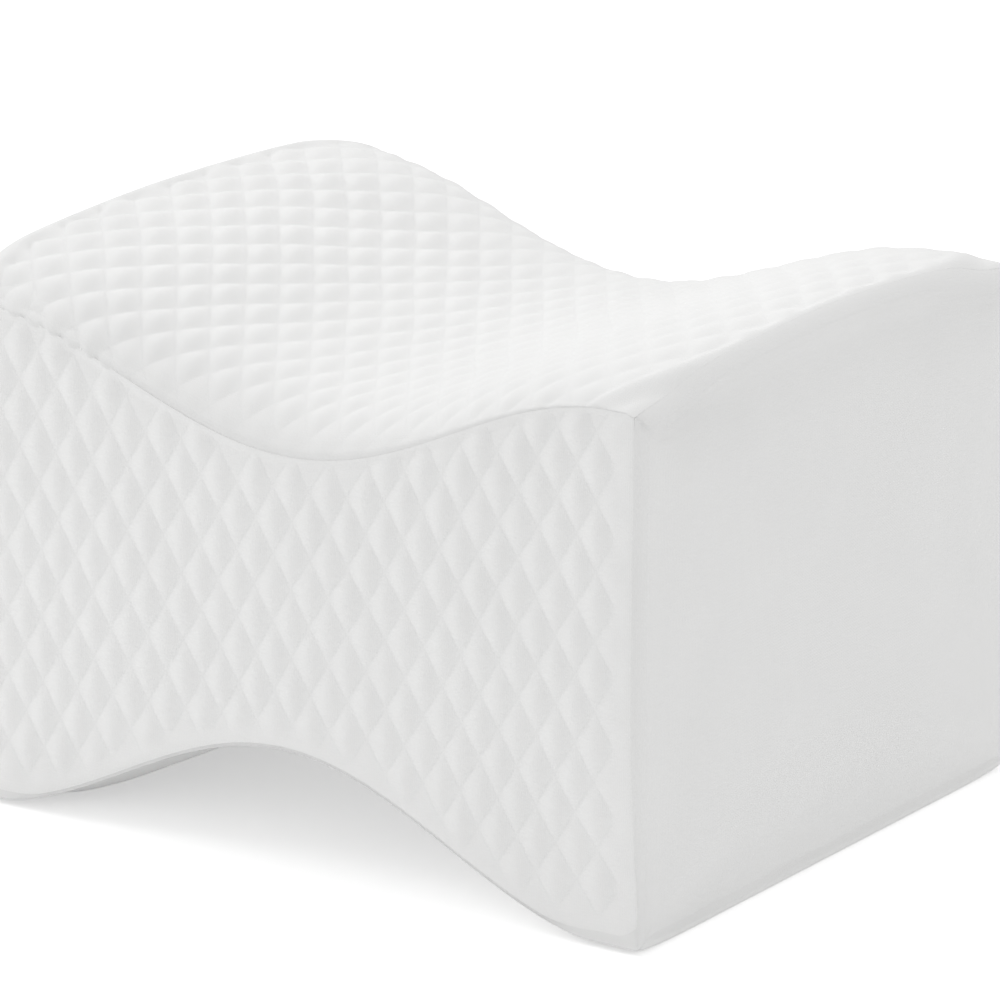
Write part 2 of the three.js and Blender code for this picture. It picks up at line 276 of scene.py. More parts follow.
def top_surface(x, layer, steps):
    """The top as a grid of points, one row for each x, each from the front seam over to the back seam."""
    front_y, front_z = top_half(x, -1, layer, steps)
    back_y, back_z = top_half(x, 1, layer, steps)
    y = np.concatenate([front_y[:, :0:-1], back_y], axis=1)
    z = np.concatenate([front_z[:, :0:-1], back_z], axis=1)
    return np.stack([np.broadcast_to(np.asarray(x)[:, None], y.shape), y, z], axis=2)


def quilting_end(y):
    """Where the top's quilting ends along X: at its end seams and, towards the corners, up to CORNER_PATCH
    before them, as a parabola."""
    past = np.maximum(np.abs(y) - PATCH_FROM, 0) / (ROLL_OUTSIDE - PATCH_FROM)
    return PANEL_HALF - CORNER_PATCH * past**2


def slant_shift(x, y, z):
    """How far the dip's slant moves a point along X: evenly from one shift at the front to another at the
    back, times a squared cosine along the pillow, only in its upper half."""
    slant = DIP_SHIFT_FRONT + (DIP_SHIFT_BACK - DIP_SHIFT_FRONT) * (y / DEPTH + 0.5)
    return slant * np.cos(math.pi * x / LENGTH) ** 2 * rises(z, SHIFT_FROM, SHIFT_OVER)


def settled(points):
    """The points moved as the filling has settled. Along X: by the slant and, at the panels' lower corners,
    by the feet's spread. Down: by each corner's sag, times a smooth rise along X and a power of the distance
    from the middle line, and by the pinch beyond the quilting's end. Both fade from the top to the seams."""
    x, y, z = points[..., 0], points[..., 1], points[..., 2]
    away = np.abs(x)
    below = top_line(np.clip(x, -HALF_LENGTH, HALF_LENGTH)) + crown_at(y) - z
    sag = np.where(y < 0, SAG_FRONT, np.where(x > 0, SAG_BACK_RIGHT, SAG_BACK_LEFT))
    along = rises(away, SAG_START, HALF_LENGTH - SAG_START)
    across = np.minimum(np.abs(y) / ROLL_OUTSIDE, 1) ** SAG_POWER
    sag = sag * along * across * np.clip(1 - below / SAG_FADE, 0, 1)
    pinch = PINCH * rises(away, quilting_end(y), PINCH_RUN) * rises(np.abs(y) / DEPTH, PINCH_FROM, PINCH_OVER)
    pinch = pinch * np.clip(1 - below / PINCH_FADE, 0, 1)
    outwards = rises(away, SPREAD_FROM, PANEL_HALF - SPREAD_FROM)
    outwards = outwards * np.clip(from_end(x) / END_SEAM_INSET, 0, 1)
    spread = FOOT_SPREAD * np.sign(x) * outwards * (1 - smooth(z / SPREAD_HEIGHT))
    return np.stack([x + slant_shift(x, y, z) + spread, y, z - sag - pinch], axis=-1)


# Meshes


def outward_normals(grid):
    """Unit normals of a grid of points: the cross product of its slopes along its two directions."""
    normal = np.cross(np.gradient(grid, axis=0), np.gradient(grid, axis=1))
    return normal / np.linalg.norm(normal, axis=2, keepdims=True)


def columns(half, corner_steps, middle_steps):
    """Places along X out to `half`, close together round the panels' lower corners."""
    turn = np.linspace(0, math.pi / 2, corner_steps + 1)
    corner = half - PANEL_CORNER * (1 - np.sin(turn))
    middle = np.linspace(-corner[0], corner[0], middle_steps + 1)
    return np.concatenate([-corner[:0:-1], middle, corner[1:]])


def grid_quads(ids):
    """The faces of a grid of point numbers."""
    return np.stack([ids[:-1, :-1], ids[1:, :-1], ids[1:, 1:], ids[:-1, 1:]], axis=2).reshape(-1, 4)


def rim_loop(ids):
    """The point numbers round a grid's edge, once round, as its faces turn."""
    return np.concatenate([ids[:-1, 0], ids[-1, :-1], ids[:0:-1, -1], ids[0, :0:-1]])


def closed_sheet(outer, inner):
    """Points and faces of a thick sheet: a fine outer grid, a coarse inner one and a wall round the edge."""
    outer_ids = np.arange(outer.shape[0] * outer.shape[1]).reshape(outer.shape[:2])
    inner_ids = outer_ids.size + np.arange(inner.shape[0] * inner.shape[1]).reshape(inner.shape[:2])
    outer_rim, inner_rim = rim_loop(outer_ids), rim_loop(inner_ids)
    starts = np.arange(len(inner_rim)) * COARSE
    along = [outer_rim[(starts + step) % len(outer_rim)] for step in range(COARSE, -1, -1)]
    wall = np.stack([*along, inner_rim, np.roll(inner_rim, -1)], axis=1)
    points = np.concatenate([outer.reshape(-1, 3), inner.reshape(-1, 3)])
    faces = grid_quads(outer_ids).tolist() + grid_quads(inner_ids)[:, ::-1].tolist() + wall.tolist()
    return points, faces


def on_both_faces(values):
    """An outer grid's values in the order of a closed sheet's points: its own, then the inner grid's."""
    each = values.shape[2:]
    return np.concatenate([values.reshape(-1, *each), values[::COARSE, ::COARSE].reshape(-1, *each)])


def add_piece(name, points, faces, uv, material, stitched=None, sharp_angle=50):
    """A smooth mesh object at the origin, with its cloth's own coordinates as a UV map in metres and, on
    quilted cloth, how much of its stitched lines' painted shade and relief shows."""
    mesh = bpy.data.meshes.new(name)
    mesh.from_pydata(points.tolist(), [], faces)
    corners = np.empty(len(mesh.loops), np.int32)
    mesh.loops.foreach_get("vertex_index", corners)
    layer = mesh.uv_layers.new(name="cloth")
    layer.uv.foreach_set("vector", uv[corners].astype(np.float32).ravel())
    if stitched is not None:
        shown = mesh.attributes.new("stitched", "FLOAT", "POINT")
        shown.data.foreach_set("value", stitched.astype(np.float32))
    mesh.shade_smooth()
    mesh.set_sharp_from_angle(angle=math.radians(sharp_angle))
    mesh.materials.append(material)
    piece = bpy.data.objects.new(name, mesh)
    bpy.context.scene.collection.objects.link(piece)
    return piece


def dress(piece, node):
    """Puts a finished piece in its solid's place."""
    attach(piece, "root")
    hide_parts(node)


# Quilting

DRIFT_WAVES = 6
DRIFT_LENGTHS = (0.7, 1.6)
DRIFT_PEAK = 3.5
CELLS = 128


def drift(s, t, size, seed):
    """A slow, even wander over the cloth, about 1 at most: a sum of sines of seeded directions, phases and
    lengths."""
    rng = np.random.default_rng(seed)
    total = np.zeros(np.broadcast(s, t).shape)
    for _ in range(DRIFT_WAVES):
        turn, phase = rng.uniform(0, 2 * math.pi, 2)
        rate = 2 * math.pi / (size * rng.uniform(*DRIFT_LENGTHS))
        total += np.sin(rate * (s * math.cos(turn) + t * math.sin(turn)) + phase)
    return total / DRIFT_PEAK


def lattice(u, v, width, height):
    """A point's place across the two families of stitched lines, which run through the whole numbers."""
    return u / width + v / height, u / width - v / height


def ridge(a, crease):
    """One direction of the quilting: the absolute sine with rounded creases, 0 on a line and 1 midway."""
    return (np.sqrt(np.sin(math.pi * a) ** 2 + crease**2) - crease) / (math.sqrt(1 + crease**2) - crease)


def puffs(u, v, width, height, settings, seed):
    """The quilting's height, from 0 on the stitching to 1 in a diamond's middle: the product of its two
    ridges to a power that sets how full it is. Each diamond's height differs a little."""
    a, b = lattice(u, v, width, height)
    each = np.random.default_rng(seed).uniform(1 - settings.variation, 1, (CELLS, CELLS))
    puff = (ridge(a, settings.crease) * ridge(b, settings.crease)) ** settings.fullness
    return puff * each[np.floor(a).astype(int) % CELLS, np.floor(b).astype(int) % CELLS]


def diamond_middle(u, v, width, height):
    """u and v of the middle of the diamond that a point lies in."""
    a, b = (np.floor(part) + 0.5 for part in lattice(u, v, width, height))
    return (a + b) * width / 2, (a - b) * height / 2


# Shader groups and materials

STITCH_LEAN = 0.55
LOOP_SHARE = 0.7
UNEVEN_SCALE = 28.0
UNEVEN_RANGE = (0.3, 0.7)
UNEVEN_SHADE = 0.012
FUZZ_SCALE = 2600.0
FUZZ_SHARE = 0.6
ROUGHNESS = (0.84, 0.92)


class Nodes:
    """Adds and links nodes in a tree, left to right."""

    def __init__(self, tree):
        self.tree = tree
        self.count = 0

    def add(self, kind, **settings):
        node = self.tree.nodes.new(kind)
        node.location = (180 * (self.count % 12), -220 * (self.count // 12))
        self.count += 1
        for key, value in settings.items():
            setattr(node, key, value)
        return node

    def feed(self, socket, source):
        if isinstance(source, bpy.types.NodeSocket):
            self.tree.links.new(source, socket)
        else:
            socket.default_value = source

    def math(self, operation, *sources):
        node = self.add("ShaderNodeMath", operation=operation)
        for socket, source in zip(node.inputs, sources):
            self.feed(socket, source)
        return node.outputs[0]

    def ramp(self, source, low, high, to_low=0.0, to_high=1.0):
        node = self.add("ShaderNodeMapRange", interpolation_type="SMOOTHSTEP")
        for socket, value in zip(node.inputs, (source, low, high, to_low, to_high)):
            self.feed(socket, value)
        return node.outputs[0]

    def group(self, group, **inputs):
        node = self.add("ShaderNodeGroup", node_tree=group)
        for name, source in inputs.items():
            self.feed(node.inputs[name.replace("_", " ")], source)
        return node.outputs


def new_group(name, vector, numbers, results):
    """An empty shader node group with a vector and numbers as inputs and numbers as outputs, its helper, and
    what it is given and gives out."""
    tree = bpy.data.node_groups.new(name, "ShaderNodeTree")
    tree.interface.new_socket(name=vector, in_out="INPUT", socket_type="NodeSocketVector")
    for label, value in numbers.items():
        socket = tree.interface.new_socket(name=label, in_out="INPUT", socket_type="NodeSocketFloat")
        socket.default_value = value
    for label in results:
        tree.interface.new_socket(name=label, in_out="OUTPUT", socket_type="NodeSocketFloat")
    nodes = Nodes(tree)
    return tree, nodes, nodes.add("NodeGroupInput").outputs, nodes.add("NodeGroupOutput").inputs


def knit_group():
    """Jersey knit: columns of V-shaped stitches, each a cosine along its column that leans away from the
    column's middle. Its Shade output is painted shade, darker where the knit is low, between its loops."""
    name = "Knit stitches"
    if name in bpy.data.node_groups:
        return bpy.data.node_groups[name]
    sizes = {"Wale": 0.0011, "Course": 0.0009}
    tree, nodes, given, out = new_group(name, "Cloth", sizes, ("Height", "Shade"))
    place = nodes.add("ShaderNodeSeparateXYZ")
    nodes.feed(place.inputs[0], given["Cloth"])
    column = nodes.math("FRACT", nodes.math("DIVIDE", place.outputs["X"], given["Wale"]))
    aside = nodes.math("MULTIPLY", nodes.math("ABSOLUTE", nodes.math("SUBTRACT", column, 0.5)), 2.0)
    row = nodes.math("DIVIDE", place.outputs["Y"], given["Course"])
    leaning = nodes.math("ADD", row, nodes.math("MULTIPLY", aside, STITCH_LEAN))
    loop = nodes.math("COSINE", nodes.math("MULTIPLY", leaning, 2 * math.pi))
    loop = nodes.math("MULTIPLY_ADD", loop, 0.5, 0.5)
    rib = nodes.math("SINE", nodes.math("MULTIPLY", aside, math.pi))
    height = nodes.math("MULTIPLY", rib, nodes.math("MULTIPLY_ADD", loop, LOOP_SHARE, 1 - LOOP_SHARE))
    nodes.feed(out["Height"], height)
    nodes.feed(out["Shade"], nodes.math("SUBTRACT", 1.0, height))
    return tree


def line_group():
    """The quilting's stitched lines: 1 on two families of slanted lines, fading smoothly to each side."""
    name = "Quilting lines"
    if name in bpy.data.node_groups:
        return bpy.data.node_groups[name]
    sizes = {"Diamond Width": 0.013, "Diamond Height": 0.02, "Line Width": 0.0008}
    tree, nodes, given, out = new_group(name, "Cloth", sizes, ("Line",))
    place = nodes.add("ShaderNodeSeparateXYZ")
    nodes.feed(place.inputs[0], given["Cloth"])
    across = nodes.math("DIVIDE", place.outputs["X"], given["Diamond Width"])
    up = nodes.math("DIVIDE", place.outputs["Y"], given["Diamond Height"])
    steep = nodes.math("POWER", nodes.math("DIVIDE", 1.0, given["Diamond Width"]), 2.0)
    flat = nodes.math("POWER", nodes.math("DIVIDE", 1.0, given["Diamond Height"]), 2.0)
    pitch = nodes.math("DIVIDE", 1.0, nodes.math("SQRT", nodes.math("ADD", steep, flat)))
    lines = []
    for family in ("ADD", "SUBTRACT"):
        turns = nodes.math(family, across, up)
        nearest = nodes.math("ABSOLUTE", nodes.math("SUBTRACT", nodes.math("FRACT", turns), 0.5))
        away = nodes.math("MULTIPLY", nodes.math("SUBTRACT", 0.5, nearest), pitch)
        lines.append(nodes.ramp(away, 0.0, given["Line Width"], 1.0, 0.0))
    nodes.feed(out["Line"], nodes.math("MAXIMUM", *lines))
    return tree


def uneven_group():
    """Two noises in the object's space: a slow one for the cloth's unevenness of colour and shine, a fine one
    for fuzz.
    """
    name = "Uneven cloth"
    if name in bpy.data.node_groups:
        return bpy.data.node_groups[name]
    tree, nodes, given, out = new_group(name, "Place", {"Scale": UNEVEN_SCALE}, ("Slow", "Fuzz"))
    for label, scale, detail in (("Slow", given["Scale"], 2.0), ("Fuzz", FUZZ_SCALE, 1.0)):
        noise = nodes.add("ShaderNodeTexNoise")
        for socket, source in (("Vector", given["Place"]), ("Scale", scale), ("Detail", detail)):
            nodes.feed(noise.inputs[socket], source)
        nodes.feed(out[label], noise.outputs[0])
    return tree


def darker(colour, share):
    """The colour at a share of its brightness, with full alpha."""
    return (*(share * c for c in colour[:3]), 1.0)


def cloth_material(name, colour, cloth, quilt=None):
    """White knit cloth: knit relief, painted shade between its loops, faint unevenness and, on quilted cloth,
    painted shade along the sunk stitching.
    """
    material = bpy.data.materials.new(name)
    material.use_nodes = True
    material.node_tree.nodes.clear()
    nodes = Nodes(material.node_tree)
    uv = nodes.add("ShaderNodeUVMap", uv_map="cloth").outputs[0]
    place = nodes.add("ShaderNodeTexCoord").outputs["Object"]
    knit = nodes.group(knit_group(), Cloth=uv, Wale=cloth.wale, Course=cloth.course)
    uneven = nodes.group(uneven_group(), Place=place, Scale=UNEVEN_SCALE)
    shader = nodes.add("ShaderNodeBsdfPrincipled")
    shader.inputs["Specular IOR Level"].default_value = 0.25
    shader.inputs["Sheen Weight"].default_value = 0.12
    shader.inputs["Sheen Roughness"].default_value = 0.5

    # shade gathers the painted shade between the knit's loops, the cloth's faint random unevenness and, on
    # quilted cloth, the painted shade along the stitched lines
    shade = nodes.math("MULTIPLY", knit["Shade"], cloth.knit_shade)
    shade = nodes.math("MULTIPLY_ADD", nodes.ramp(uneven["Slow"], *UNEVEN_RANGE), UNEVEN_SHADE, shade)
    relief = nodes.math("MULTIPLY", knit["Height"], cloth.knit_relief)
    relief = nodes.math("MULTIPLY_ADD", uneven["Fuzz"], cloth.knit_relief * FUZZ_SHARE, relief)
    if quilt:
        width, height = quilt
        lines = nodes.group(
            line_group(), Cloth=uv, Diamond_Width=width, Diamond_Height=height, Line_Width=cloth.line_width
        )
        stitched = nodes.add("ShaderNodeAttribute", attribute_name="stitched").outputs["Fac"]
        line = nodes.math("MULTIPLY", lines["Line"], stitched)
        # Painted shade along the stitched lines, in place of the shade in their creases; the bump below also
        # sinks them
        shade = nodes.math("MULTIPLY_ADD", line, cloth.line_shade, shade)
        relief = nodes.math("MULTIPLY_ADD", line, -cloth.line_relief, relief)
    mix = nodes.add("ShaderNodeMix", data_type="RGBA")
    nodes.feed(mix.inputs[0], shade)
    nodes.feed(mix.inputs[6], (*colour, 1.0))
    nodes.feed(mix.inputs[7], darker(colour, 0.0))
    nodes.feed(shader.inputs["Base Color"], mix.outputs[2])
    nodes.feed(shader.inputs["Roughness"], nodes.ramp(uneven["Slow"], *UNEVEN_RANGE, *ROUGHNESS))
    bump = nodes.add("ShaderNodeBump")
    bump.inputs["Strength"].default_value = 1.0
    bump.inputs["Distance"].default_value = 1.0
    nodes.feed(bump.inputs["Height"], relief)
    nodes.feed(shader.inputs["Normal"], bump.outputs[0])
    nodes.feed(nodes.add("ShaderNodeOutputMaterial").inputs["Surface"], shader.outputs[0])
    return material


def slot_colour(slot):
    """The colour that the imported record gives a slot."""
    return next(m["base_color"] for m in frame["record"]["materials"] if m["slot"] == slot)


# Settings that a user would change


def number(name, description, default, **limits):
    """A setting that is a plain number."""
    return bpy.props.FloatProperty(name=name, description=description, default=default, **limits)


def metres(name, description, default, **limits):
    """A setting that is a length."""
    return number(name, description, default, unit="LENGTH", **limits)


def watts(name, description, default):
    """A setting that is a light's power."""
    return number(name, description, default, unit="POWER")


def colour(name, description, default):
    """A setting that is a colour."""
    return bpy.props.FloatVectorProperty(
        name=name, description=description, default=default, subtype="COLOR", size=3
    )


class QuiltSettings(bpy.types.PropertyGroup):
    top_width: metres("Top diamond width", "Width along the pillow", 0.01278)
    top_length: metres("Top diamond length", "Length across the pillow", 0.02044)
    side_width: metres("Side diamond width", "Width along the pillow", 0.01286)
    side_height: metres("Side diamond height", "Height of a diamond", 0.02006)
    top_slant: number("Top slant", "Shift of the lines along the pillow per length across", 0.133)
    side_slant: number("Side slant", "Rise of the lines per length along the pillow", 0.041)
    pucker: number("Pucker", "How much closer the lines lie in the dip", 0.12, min=0.0, max=0.5)
    fan: number("Fan", "How far the lines turn on the right hump, in lines per metre", -7.0)
    top_depth: metres("Top depth", "How far the stitching sinks", 0.0016)
    side_depth: metres("Side depth", "How far the stitching sinks", 0.0013)
    crease: number("Crease", "Higher values make rounder creases", 0.2, min=0.01, max=1.0)
    fullness: number("Fullness", "Lower values make fuller, flatter diamonds", 0.9, min=0.1, max=2.0)
    variation: number("Variation", "How much the diamonds differ", 0.18, min=0.0, max=1.0)
    wander: metres("Wander", "How far the stitching strays", 0.0005)


class ClothSettings(bpy.types.PropertyGroup):
    quilted: colour("Quilted cloth", "Colour of the panels", slot_colour("quilted_knit"))
    plain: colour("Plain cloth", "Colour of the cushion", slot_colour("plain_knit"))
    wale: metres("Wale", "Width of a column of stitches", 0.0011, precision=5)
    course: metres("Course", "Height of a row of stitches", 0.0009, precision=5)
    knit_relief: metres("Knit relief", "Height of the knit", 0.00005, precision=6)
    # Painted shade in the hollows between the knit's loops
    knit_shade: number("Knit shade", "Darkening between the stitches", 0.02, min=0.0, max=1.0)
    line_width: metres("Line width", "Reach of a stitched line to each side", 0.0008)
    line_relief: metres("Line relief", "Extra depth of a stitched line", 0.00005, precision=5)
    # Painted shade along a stitched line, in place of the shade in its crease
    line_shade: number("Line shade", "Darkening along a stitched line", 0.015, min=0.0, max=1.0)


class CushionSettings(bpy.types.PropertyGroup):
    voxel: metres("Simulation grid", "Size of the simulated faces", 0.005)
    pressure: number("Pressure", "How hard the filling pushes", 4.0, min=0.0)
    swell: metres("Swell", "The furthest that the cloth may move", 0.0025)
    seam_reach: metres("Seam reach", "How far a seam holds the cloth", 0.014)


class StageSettings(bpy.types.PropertyGroup):
    floor: colour("Floor", "Colour of the floor", (0.97, 0.97, 0.97))
    glow: number("Floor glow", "How brightly the floor is lit from below", 0.11, min=0.0)
    whiteness: number("Whiteness", "Extra brightness of the floor to the camera", 0.25, min=0.0)
    surround: number("Surround", "Brightness of the light from all round", 0.675, min=0.0)
    left: watts("Left light", "Power of the large light at the left", 5.3)
    back: watts("Back light", "Power of the large light at the back", 3.2)
    right: watts("Right light", "Power of the faint light at the right", 1.15)
    overhead: watts("Overhead light", "Power of the small light above the dip", 0.28)


# The plain cushion

FLAT_STEPS = 24
ROLL_STEPS = 14
SIDE_STEPS = 44
UNDER_STEPS = 12
BAND_RINGS = 16
CAP_RINGS = 30
MIDDLE_RINGS = 80
CORNER_RINGS = 20

# How near a point of the cushion counts as on the flat of an end or on the underside, and where that begins
ON_END = 0.0005
ON_UNDERSIDE = 0.001
UNDERSIDE_START = 0.002

# The simulation of its cloth
FRAMES = 20
BLOCK = 1000
TINY = 1e-9


def cushion_half(x, side, covered):
    """y and z of half a ring of the cushion at each x, from the middle of the top to that of the underside:
    the top's section, a straight or slightly bulging side, a lip and the underside's rolled edge."""
    top_y, top_z = top_half(x, side, UNDER_PANEL if covered else PLAIN_SKIN, (FLAT_STEPS, ROLL_STEPS))
    plane = BODY_PLANE if covered else ROLL_OUTSIDE
    seam = under_seam_height(x, UNDER_GAP)[:, None]
    low = under_line(x)[:, None]
    share = np.linspace(0, 1, SIDE_STEPS + 2)[None, 1:-1]
    side_y = plane + (0 if covered else SIDE_BULGE) * np.sin(math.pi * share)
    side_z = top_z[:, -1:] + (seam - top_z[:, -1:]) * share
    turn = math.pi / 2 * np.linspace(0, 1, UNDER_STEPS + 1)[None, :] ** 2
    roll_y = ROLL_START + ROLL_WIDTH * np.cos(turn)
    roll_z = low + UNDER_ROLL_RISE * (1 - np.sin(turn))
    flat_y = np.linspace(ROLL_START, 0, FLAT_STEPS + 1)[None, 1:]
    parts = [
        (np.abs(top_y), top_z),
        (side_y, side_z),
        (np.full((1, 1), plane), seam),
        (np.full((1, 1), ROLL_OUTSIDE), seam - LIP),
        (roll_y, roll_z),
        (flat_y, low),
    ]
    wide = [np.broadcast_arrays(y, z, x[:, None])[:2] for y, z in parts]
    y, z = (np.concatenate(values, axis=1) for values in zip(*wide))
    return side * y, z


def cushion_rings(x, covered):
    """Whole rings of the cushion at each x, from the middle of the top, round by the back and the front."""
    back_y, back_z = cushion_half(x, 1, covered)
    front_y, front_z = cushion_half(x, -1, covered)
    y = np.concatenate([back_y, front_y[:, -2:0:-1]], axis=1)
    z = np.concatenate([back_z, front_z[:, -2:0:-1]], axis=1)
    return np.stack([np.broadcast_to(x[:, None], y.shape), y, z], axis=2)


def band_rings():
    """The plain cloth from the panels' end seam, round the soft edge to the flat of the end."""
    start = PANEL_HALF + GAP + SEAM_STEP_RUN
    first = math.asin(1 - from_end(start) / TOP_CORNER)
    turn = np.linspace(first, math.pi / 2, BAND_RINGS)
    x = HALF_LENGTH - TOP_CORNER * (1 - np.sin(turn))
    rings = cushion_rings(x, False)
    rings[:, :, 1] *= 1 - round_drop(from_end(x), SIDE_CORNER)[:, None] / ROLL_OUTSIDE
    return rings


def cap_rings(edge):
    """Ever smaller copies of the end's outline, which bulge outwards as a parabola towards its middle."""
    scale = np.linspace(1, 0, CAP_RINGS + 1)[1:-1, None]
    x = edge[None, :, 0] + END_BULGE * (1 - scale**2)
    y = edge[None, :, 1] * scale
    z = MIDDLE_HEIGHT + (edge[None, :, 2] - MIDDLE_HEIGHT) * scale
    return np.stack([x, y, z], axis=2)


def mirrored(rings):
    """The same rings at the other end of the pillow, in order along X."""
    return (rings * np.array([-1, 1, 1]))[::-1]


def cushion_cloth(rings, edge_index):
    """The cloth's own coordinates: those of the flat end as it stands, and beyond its edge the distance run
    along the surface, straight outwards from the edge."""
    half = len(rings) // 2
    uv = np.empty((len(rings), rings.shape[1], 2))
    for order in (slice(None), slice(None, None, -1)):
        part = rings[order][half:]
        edge = edge_index - half
        ring = part[edge]
        along = np.roll(ring, -1, axis=0)[:, 1:] - np.roll(ring, 1, axis=0)[:, 1:]
        out = np.stack([-along[:, 1], along[:, 0]], axis=1)
        out /= np.linalg.norm(out, axis=1, keepdims=True)
        steps = np.linalg.norm(np.diff(part[: edge + 1], axis=0), axis=2)
        run = np.concatenate([np.cumsum(steps[::-1], axis=0)[::-1], np.zeros((1, rings.shape[1]))])
        uv_part = part[:, :, 1:].copy()
        uv_part[: edge + 1] = ring[None, :, 1:] + out[None] * run[:, :, None]
        uv[order][half:] = uv_part
    return uv


def seam_distance(points):
    """Roughly how far each point lies from the nearest panel's edge, over the cushion's uncovered cloth."""
    x, y, z = np.abs(points[:, 0]), np.abs(points[:, 1]), points[:, 2]
    beyond, on_end = np.maximum(x - PANEL_HALF, 0), x > HALF_LENGTH - ON_END
    from_side = beyond + np.where(on_end, ROLL_OUTSIDE - y, 0)
    at_end = np.minimum(from_side, beyond + np.where(on_end, CREST - z, 0))
    underneath = z < under_seam_height(x, UNDER_GAP) + ON_UNDERSIDE
    under = np.where(underneath, ROLL_OUTSIDE - y + UNDERSIDE_START, 0)
    return np.where(x > PANEL_HALF, at_end, under)


def swollen(piece, settings):
    """How a remeshed copy of the piece moves when its cloth is simulated with the filling's pressure: the
    copy's points before, and how far each of them moves, at most the settings' swell."""
    scene = bpy.context.scene
    copy = piece.copy()
    copy.data = piece.data.copy()
    scene.collection.objects.link(copy)
    remesh = copy.modifiers.new("remesh", "REMESH")
    remesh.mode = "VOXEL"
    remesh.voxel_size = settings.voxel
    cage_mesh = bpy.data.meshes.new_from_object(copy.evaluated_get(bpy.context.evaluated_depsgraph_get()))
    bpy.data.objects.remove(copy)
    cage = bpy.data.objects.new("cage", cage_mesh)
    scene.collection.objects.link(cage)
    before = np.empty(len(cage_mesh.vertices) * 3)
    cage_mesh.vertices.foreach_get("co", before)
    cloth = cage.modifiers.new("cloth", "CLOTH")
    cloth.settings.use_pressure = True
    cloth.settings.uniform_pressure_force = settings.pressure
    cloth.settings.effector_weights.gravity = 0
    for step in range(FRAMES):
        scene.frame_set(step + 1)
    result = cage.evaluated_get(bpy.context.evaluated_depsgraph_get()).to_mesh()
    after = np.empty(len(result.vertices) * 3)
    result.vertices.foreach_get("co", after)
    bpy.data.objects.remove(cage)
    scene.frame_set(1)
    before, moved = before.reshape(-1, 3), (after - before).reshape(-1, 3)
    length = np.linalg.norm(moved, axis=1, keepdims=True)
    return before, moved * np.minimum(1, settings.swell / np.maximum(length, TINY))


def carried(points, before, moved, reach):
    """How far each point goes with the cage: the mean of the cage's movements near it, each weighted by a
    bell curve of its distance."""
    out = np.empty_like(points)
    square = (before**2).sum(axis=1)
    for some in np.array_split(np.arange(len(points)), len(points) // BLOCK + 1):
        near = points[some]
        apart = (near**2).sum(axis=1)[:, None] + square[None] - 2 * near @ before.T
        weight = np.exp(-(apart - apart.min(axis=1, keepdims=True)) / reach**2)
        out[some] = weight @ moved / weight.sum(axis=1, keepdims=True)
    return out


class PILLOW_OT_plain_cushion(bpy.types.Operator):
    """The filled cushion in its plain knit cloth, swollen by a cloth simulation"""

    bl_idname = "knee_pillow.plain_cushion"
    bl_label = "Plain Cushion"

    def execute(self, context):
        settings = context.scene.pillow_cushion
        band = band_rings()
        right = np.concatenate([band, cap_rings(band[-1])])
        middle_x = columns(PANEL_HALF + GAP, CORNER_RINGS, MIDDLE_RINGS)
        middle = cushion_rings(middle_x, True)
        rings = np.concatenate([mirrored(right), middle, right])
        edge_index = len(right) + len(middle) + len(band) - 1
        uv = cushion_cloth(rings, edge_index).reshape(-1, 2)

        around = rings.shape[1]
        ids = np.arange(rings.shape[0] * around).reshape(-1, around)
        ids = np.concatenate([ids, ids[:, :1]], axis=1)
        left_tip, right_tip = ids[-1, -2] + 1, ids[-1, -2] + 2
        tip = HALF_LENGTH + END_BULGE
        tips = np.array([[-tip, 0, MIDDLE_HEIGHT], [tip, 0, MIDDLE_HEIGHT]])
        points = settled(np.concatenate([rings.reshape(-1, 3), tips]))
        uv = np.concatenate([uv, tips[:, 1:]])
        left = np.stack([ids[0, :-1], ids[0, 1:], np.full(around, left_tip)], axis=1)
        right_fan = np.stack([ids[-1, 1:], ids[-1, :-1], np.full(around, right_tip)], axis=1)
        faces = grid_quads(ids).tolist() + left.tolist() + right_fan.tolist()
        cloth = context.scene.pillow_cloth
        material = cloth_material("plain_knit_cloth", tuple(cloth.plain), cloth)
        piece = add_piece("plain_cushion", points, faces, uv, material)
        before, moved = swollen(piece, settings)
        hold = smooth(seam_distance(points) / settings.seam_reach)[:, None]
        points = points + hold * carried(points, before, moved, settings.voxel)
        points[:, 2] = np.maximum(points[:, 2], 0)
        piece.data.vertices.foreach_set("co", points.astype(np.float32).ravel())
        piece.data.update()
        dress(piece, "cushion_body")
        return {"FINISHED"}


# The quilted panels

# Where the stitched lines start, and how they are drawn together in the dip, stray, and fan out on the right
TOP_START = (0.0051, -0.0049)
SIDE_START = (0.0028, 0.0054)
PUCKER_REACH = 0.115
STRAY_ALONG = 0.045
STRAY_ACROSS = 0.05
FAN = (0.02, 0.08)

# The top's quilting near its ends and seams, and starts and runs of its changes over the pillow
END_RUN = 0.003
SEAM_RUN = 0.004
WHOLE = (0.003, 0.005)
GATHERED = (0.045, 0.025)
LEFT = (0.02, 0.05)
RIGHT = (0.03, 0.04)
BACK = (0.045, 0.03)

# The share of its depth and of its lines' painted shade and relief in different places, and the top cloth's
# painted shade
DEPTH_AT_SEAM = 0.12
DEPTH_AT_RIGHT = 0.68
MORE_AT_LEFT = 0.6
LESS_AT_BACK = 0.5
LINE_SHADE_AND_RELIEF = 0.5
MORE_LINE_SHADE_AND_RELIEF_AT_LEFT = 0.5
LESS_LINE_SHADE_AND_RELIEF_AT_RIGHT = 0.35
# The top's cloth is drawn at this share of the quilted cloth's colour: painted shade, a darker copy of the
# same cloth so that the top comes out less bright under the lights
TOP_PAINTED_SHADE = 0.95

